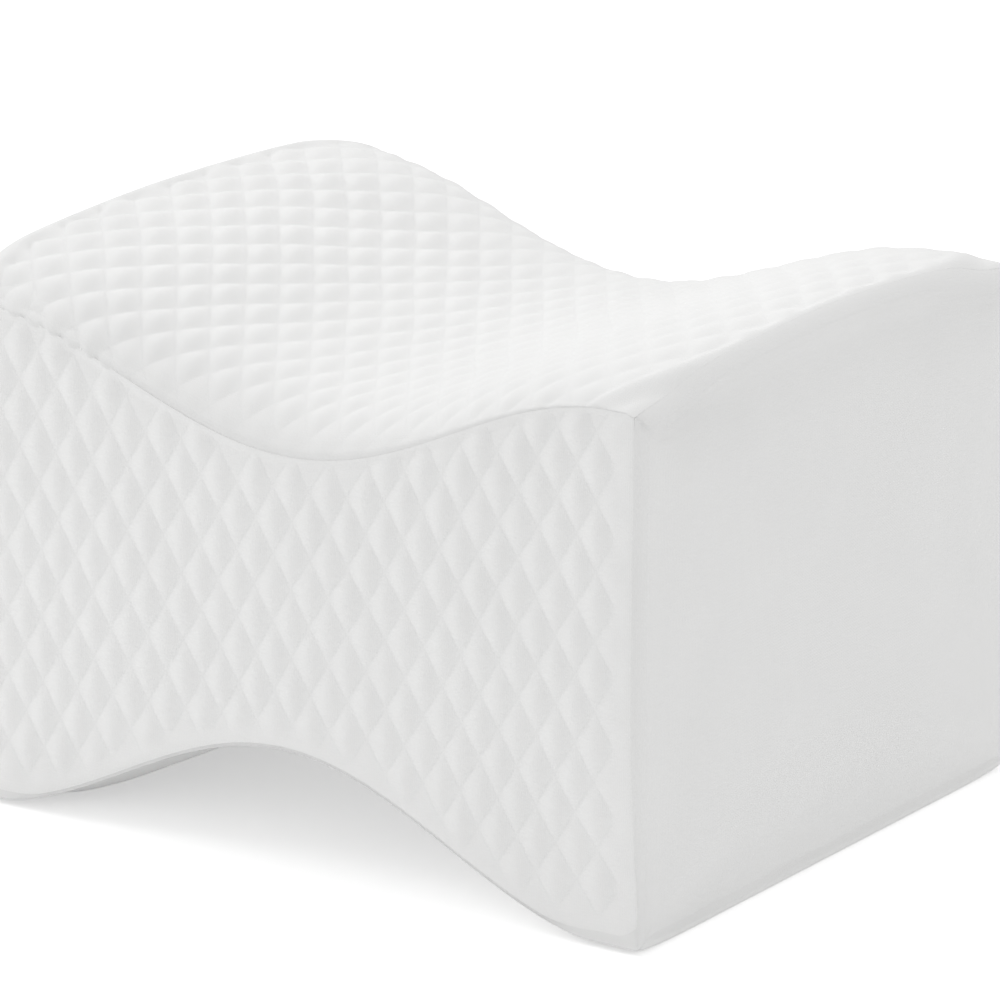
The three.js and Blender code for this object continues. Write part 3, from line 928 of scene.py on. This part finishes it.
# The cloth's slow swell between the seams, and the scallops at the front left, with their share on each axis
SWELL = 0.0003
SWELL_SIZE = 0.06
SCALLOP = 0.0018
SCALLOP_RUN = 0.007
SCALLOP_AXES = np.array([0, 0.9, 1])

# Margins at the ends, bottom and top of the sides' quilting: of whole diamonds, of depth, of the lines'
# painted shade and relief, of the rim
SIDE_WHOLE = (0.010, 0.009, 0.0035)
SIDE_DEEP = (0.007, 0.007, 0.003)
SIDE_LINE_SHADE_AND_RELIEF = (0.010, 0.009, 0.002)
SIDE_RIM = (0.009, 0.009, 0.009)


def top_columns():
    """The top's columns at even distances over its cloth: their x, those distances from the middle and the
    length of it all."""
    reach = PANEL_HALF + TOP_END_REACH
    fine = np.linspace(-reach, reach, RUN_SAMPLES)
    run = np.concatenate([[0], np.cumsum(np.hypot(np.diff(fine), np.diff(top_line(fine))))])
    s = np.linspace(0, run[-1], TOP_COLUMNS + 1)
    return np.interp(s, run, fine), (s - run[-1] / 2)[:, None], run[-1]


def top_rows(steps):
    """The distances of the top's rows from its middle, over the cloth between hump and dip."""
    mean = top_surface(np.array([WAVE_REACH / 2]), SKIN, steps)[0]
    t = np.concatenate([[0], np.cumsum(np.linalg.norm(np.diff(mean, axis=0), axis=1))])
    return (t - t[-1] / 2)[None, :]


def top_lattice(skin, s, t, quilt):
    """u along and v across the top's quilting: the distances s and t, with u drawn together in the dip by a
    sine of s, slanted in proportion to t and moved as the dip, and both turned by t times a rise along s."""
    puckered = quilt.pucker * PUCKER_REACH / math.pi * np.sin(math.pi * s / PUCKER_REACH)
    u = s + puckered + quilt.top_slant * t + slant_shift(skin[..., 0], skin[..., 1], skin[..., 2])
    fanned = quilt.fan * t * rises(s, *FAN) / 2
    u = u + TOP_START[0] + quilt.wander * drift(s, t, STRAY_ALONG, 11) + fanned * quilt.top_width
    v = t + TOP_START[1] + quilt.wander * drift(s, t, STRAY_ACROSS, 12) + fanned * quilt.top_length
    return u, v


def quilted_skin(skin, s, t, u, v, quilt):
    """The top's quilted face before it settles, and how much of its stitched lines' painted shade and relief
    shows:
    more at the left and less on the right hump, following how the light falls there. The skin sinks by
    the depth times what the puffs lack of 1, least at the seams and more towards the left. Diamonds cut by a
    seam lie flat, but those gathered at the front left are whole there and hang over it as scallops."""
    along, across = skin[..., 0], skin[..., 1]
    half = t[0, -1]
    from_seam = half - np.abs(t)
    middle = diamond_middle(u, v, quilt.top_width, quilt.top_length)[1]
    gathered = rises(-along, *GATHERED) * (across < 0)
    whole = np.maximum(rises(half - np.abs(middle - TOP_START[1]), *WHOLE), gathered)
    puff = puffs(u, v, quilt.top_width, quilt.top_length, quilt, 13) * whole
    from_edge = smooth((quilting_end(across) - np.abs(along)) / END_RUN)
    left, right = rises(-along, *LEFT), rises(along, *RIGHT)
    # The stitched lines' painted shade and their bump: more at the left and less on the right hump, following
    # how the light falls there
    shade_and_relief_share = LINE_SHADE_AND_RELIEF + MORE_LINE_SHADE_AND_RELIEF_AT_LEFT * left - LESS_LINE_SHADE_AND_RELIEF_AT_RIGHT * right
    stitched = from_edge * smooth(from_seam / SEAM_RUN) * shade_and_relief_share
    strength = from_edge * (DEPTH_AT_SEAM + (1 - DEPTH_AT_SEAM) * smooth(from_seam / SEAM_RUN))
    strength = strength * (DEPTH_AT_RIGHT + MORE_AT_LEFT * left) * (1 - LESS_AT_BACK * rises(across, *BACK))
    sink = quilt.top_depth * (1 - puff) * strength
    swell = SWELL * drift(s, t, SWELL_SIZE, 14) * stitched
    outer = skin + outward_normals(skin) * (swell - sink)[:, :, None]
    scallop = SCALLOP * gathered * puff * smooth(1 - from_seam / SCALLOP_RUN)
    return outer - scallop[:, :, None] * SCALLOP_AXES, stitched


class PILLOW_OT_quilted_top(bpy.types.Operator):
    """The quilted top, which rolls over the front and back edges down to their seams"""

    bl_idname = "knee_pillow.quilted_top"
    bl_label = "Quilted Top"

    def execute(self, context):
        quilt, cloth = context.scene.pillow_quilt, context.scene.pillow_cloth
        steps = (TOP_FLAT_STEPS, TOP_ROLL_STEPS)
        x, s, along = top_columns()
        t = top_rows(steps)
        skin = top_surface(x, SKIN, steps)
        u, v = top_lattice(skin, s, t, quilt)
        outer, stitched = quilted_skin(skin, s, t, u, v, quilt)
        inner_x = np.clip(x[::COARSE], -PANEL_HALF, PANEL_HALF)
        inner = top_surface(inner_x, PANEL_BACK, (TOP_FLAT_STEPS // COARSE, TOP_ROLL_STEPS // COARSE))

        points, faces = closed_sheet(settled(outer), settled(inner))
        uv = on_both_faces(np.stack([u, v], axis=2))
        diamond = (quilt.top_width, quilt.top_length)
        # A darker copy of the quilted cloth for the top: painted shade
        shaded_top_colour = darker(cloth.quilted, TOP_PAINTED_SHADE)[:3]
        material = cloth_material("quilted_top_cloth_painted_shade", shaded_top_colour, cloth, diamond)
        piece = add_piece("quilted_top", points, faces, uv, material, on_both_faces(stitched))
        dress(piece, "top_panel")
        return {"FINISHED"}


def inside_panel(x, z, side, margins):
    """How far in from a side panel's seams a place is, as a share of margins at its ends, bottom and top."""
    ends, bottom, top = margins
    from_bottom = z - under_seam_height(np.clip(x, -PANEL_HALF, PANEL_HALF))
    from_top = top_seam_height(np.clip(x, -PANEL_HALF, PANEL_HALF), side) - GAP - z
    return np.minimum((PANEL_HALF - np.abs(x)) / ends, np.minimum(from_bottom / bottom, from_top / top))


def quilted_side(name, side, material, quilt, seed):
    """A front (side -1) or back (side 1) panel: a grid between its two seams, whose thickness rises from its
    rim as a parabola and sinks at the stitching."""
    x = columns(PANEL_HALF, CORNER_COLUMNS, SIDE_COLUMNS)
    low, high = under_seam_height(x), top_seam_height(x, side) - GAP
    share = np.linspace(0, 1, SIDE_ROWS + 1)[None, :]
    z = low[:, None] + (high - low)[:, None] * share
    wide = np.broadcast_to(x[:, None], z.shape)
    plane = np.full_like(z, side * SEAM_PLANE)
    inner = np.stack([wide, plane, z], axis=2)[::COARSE, ::COARSE]

    width, height = quilt.side_width, quilt.side_height
    along = wide + slant_shift(wide, plane, z)
    u = along + SIDE_START[0] + quilt.wander * drift(wide, z, STRAY_ALONG, seed)
    v = z - quilt.side_slant * along + SIDE_START[1] + quilt.wander * drift(wide, z, STRAY_ACROSS, seed + 1)
    middle_u, middle_v = diamond_middle(u, v, width, height)
    middle_x = middle_u - SIDE_START[0]
    middle_z = middle_v - SIDE_START[1] + quilt.side_slant * middle_x
    whole = smooth(inside_panel(middle_x, middle_z, side, SIDE_WHOLE))
    puff = puffs(u, v, width, height, quilt, seed + 2) * whole
    rim = 1 - np.clip(inside_panel(wide, z, side, SIDE_RIM), 0, 1)
    strength = smooth(inside_panel(wide, z, side, SIDE_DEEP))
    thickness = SIDE_PANEL_RIM + (SIDE_PANEL - SIDE_PANEL_RIM) * (1 - rim**2)
    thickness = thickness - quilt.side_depth * (1 - puff) * strength
    # How much of the lines' painted shade and relief shows, fading towards the seams
    stitched = smooth(inside_panel(wide, z, side, SIDE_LINE_SHADE_AND_RELIEF))

    from_edges = (PANEL_HALF - np.abs(wide), z - low[:, None], high[:, None] - z)
    near_end, near_foot, near_top = (np.clip(1 - away / REACH_RUN, 0, 1) for away in from_edges)
    outer_x = wide + SIDE_END_REACH * np.sign(wide) * near_end
    outer_z = z - SIDE_FOOT_REACH * near_foot + SIDE_TOP_REACH * near_top
    outer = np.stack([outer_x, side * (SEAM_PLANE + thickness), outer_z], axis=2)
    uv = np.stack([u, v], axis=2)
    if side > 0:
        outer, inner, uv, stitched = outer[::-1], inner[::-1], uv[::-1], stitched[::-1]
    points, faces = closed_sheet(settled(outer), settled(inner))
    piece = add_piece(name, points, faces, on_both_faces(uv), material, on_both_faces(stitched))
    return piece


class PILLOW_OT_quilted_sides(bpy.types.Operator):
    """The quilted front and back, cut to the pillow's hourglass outline"""

    bl_idname = "knee_pillow.quilted_sides"
    bl_label = "Quilted Sides"

    def execute(self, context):
        quilt, cloth = context.scene.pillow_quilt, context.scene.pillow_cloth
        diamond = (quilt.side_width, quilt.side_height)
        material = cloth_material("quilted_side_cloth", tuple(cloth.quilted), cloth, diamond)
        dress(quilted_side("quilted_front", -1, material, quilt, 21), "front_panel")
        dress(quilted_side("quilted_back", 1, material, quilt, 31), "back_panel")
        return {"FINISHED"}


# The stage

FLOOR_HALF = 4.0
LIT_PLACE = (0.0, 0.0, 0.08)
LARGE_LIGHT = 0.8
SMALL_LIGHT = 0.15
LEFT_LIGHT = (-1.16, -0.55, 1.02)
BACK_LIGHT = (-0.75, 1.2, 0.8)
RIGHT_LIGHT = (1.3, 0.25, 0.6)
OVERHEAD_LIGHT = (0.03, 0.0, 0.5)


def add_camera():
    """A camera at the photograph's angles, placed so that the near bottom corner falls on its pixel."""
    azimuth, elevation = math.radians(CAMERA_AZIMUTH), math.radians(CAMERA_ELEVATION)
    level = math.cos(elevation)
    right = Vector((math.cos(azimuth), math.sin(azimuth), 0))
    back = Vector((math.sin(azimuth) * level, -math.cos(azimuth) * level, math.sin(elevation)))
    up = back.cross(right)
    data = bpy.data.cameras.new("camera")
    data.lens = CAMERA_LENS
    data.sensor_width = SENSOR_WIDTH
    data.clip_end = 20
    span = CAMERA_TO_CORNER * data.sensor_width / data.lens
    aside = (CORNER_PIXEL[0] / PICTURE_SIDE - 0.5) * span
    below = (CORNER_PIXEL[1] / PICTURE_SIDE - 0.5) * span
    corner = Vector((LENGTH / 2, -DEPTH / 2, 0))
    camera = bpy.data.objects.new("camera", data)
    place = corner + back * CAMERA_TO_CORNER - right * aside + up * below
    camera.matrix_world = Matrix.Translation(place) @ Matrix((right, up, back)).transposed().to_4x4()
    bpy.context.scene.collection.objects.link(camera)
    bpy.context.scene.camera = camera


def add_light(name, place, size, power):
    """A square area light at a place, turned to face the pillow."""
    data = bpy.data.lights.new(name, "AREA")
    data.size = size
    data.energy = power
    light = bpy.data.objects.new(name, data)
    light.location = place
    light.rotation_euler = (Vector(LIT_PLACE) - Vector(place)).to_track_quat("-Z", "Y").to_euler()
    bpy.context.scene.collection.objects.link(light)


def brighten(tree, strength, base, extra):
    """Sets a strength: a base, and an extra only where the camera itself looks."""
    nodes = Nodes(tree)
    seen = nodes.add("ShaderNodeLightPath").outputs["Is Camera Ray"]
    nodes.feed(strength, nodes.math("MULTIPLY_ADD", seen, extra, base))


class PILLOW_OT_stage(bpy.types.Operator):
    """The pale floor, the soft light and the camera"""

    bl_idname = "knee_pillow.stage"
    bl_label = "Stage"

    def execute(self, context):
        settings = context.scene.pillow_stage
        scene = context.scene
        corners = FLOOR_HALF * np.array([[-1, -1, 0], [1, -1, 0], [1, 1, 0], [-1, 1, 0]])
        material = bpy.data.materials.new("pale_floor")
        material.use_nodes = True
        shader = material.node_tree.nodes["Principled BSDF"]
        shader.inputs["Base Color"].default_value = (*settings.floor, 1.0)
        shader.inputs["Roughness"].default_value = 0.9
        shader.inputs["Specular IOR Level"].default_value = 0.0
        shader.inputs["Emission Color"].default_value = (1.0, 1.0, 1.0, 1.0)
        brighten(material.node_tree, shader.inputs["Emission Strength"], settings.glow, settings.whiteness)
        floor = add_piece("floor", corners, [[0, 1, 2, 3]], corners[:, :2], material)

        world = bpy.data.worlds.new("studio")
        world.use_nodes = True
        scene.world = world
        sky = world.node_tree.nodes["Background"].inputs
        sky["Color"].default_value = (1.0, 1.0, 1.0, 1.0)
        brighten(world.node_tree, sky["Strength"], settings.surround, 1.0 - settings.surround)

        add_light("left_light", LEFT_LIGHT, LARGE_LIGHT, settings.left)
        add_light("back_light", BACK_LIGHT, LARGE_LIGHT, settings.back)
        add_light("right_light", RIGHT_LIGHT, LARGE_LIGHT, settings.right)
        add_light("overhead_light", OVERHEAD_LIGHT, SMALL_LIGHT, settings.overhead)
        scene.view_settings.view_transform = "Standard"
        add_camera()
        return {"FINISHED"}


class PILLOW_PT_panel(bpy.types.Panel):
    """Builds the pillow and shows its settings"""

    bl_idname = "PILLOW_PT_panel"
    bl_label = "Knee Pillow"
    bl_space_type = "VIEW_3D"
    bl_region_type = "UI"
    bl_category = "Knee Pillow"

    def draw(self, context):
        for group, operators in STEPS:
            box = self.layout.box()
            for operator in operators:
                box.operator(operator.bl_idname)
            for name in getattr(context.scene, group).bl_rna.properties.keys():
                if name not in ("rna_type", "name"):
                    box.prop(getattr(context.scene, group), name)


SETTINGS = {
    "pillow_cloth": ClothSettings,
    "pillow_cushion": CushionSettings,
    "pillow_quilt": QuiltSettings,
    "pillow_stage": StageSettings,
}
STEPS = (
    ("pillow_cushion", (PILLOW_OT_plain_cushion,)),
    ("pillow_quilt", (PILLOW_OT_quilted_top, PILLOW_OT_quilted_sides)),
    ("pillow_cloth", ()),
    ("pillow_stage", (PILLOW_OT_stage,)),
)
OPERATORS = [operator for _, operators in STEPS for operator in operators]
CLASSES = (*SETTINGS.values(), *OPERATORS, PILLOW_PT_panel)


def register():
    for cls in CLASSES:
        bpy.utils.register_class(cls)
    for name, cls in SETTINGS.items():
        setattr(bpy.types.Scene, name, bpy.props.PointerProperty(type=cls))


def unregister():
    for name in SETTINGS:
        delattr(bpy.types.Scene, name)
    for cls in reversed(CLASSES):
        bpy.utils.unregister_class(cls)


def main():
    register()
    bpy.ops.knee_pillow.plain_cushion()
    bpy.ops.knee_pillow.quilted_top()
    bpy.ops.knee_pillow.quilted_sides()
    bpy.ops.knee_pillow.stage()


if __name__ == "__main__":
    main()
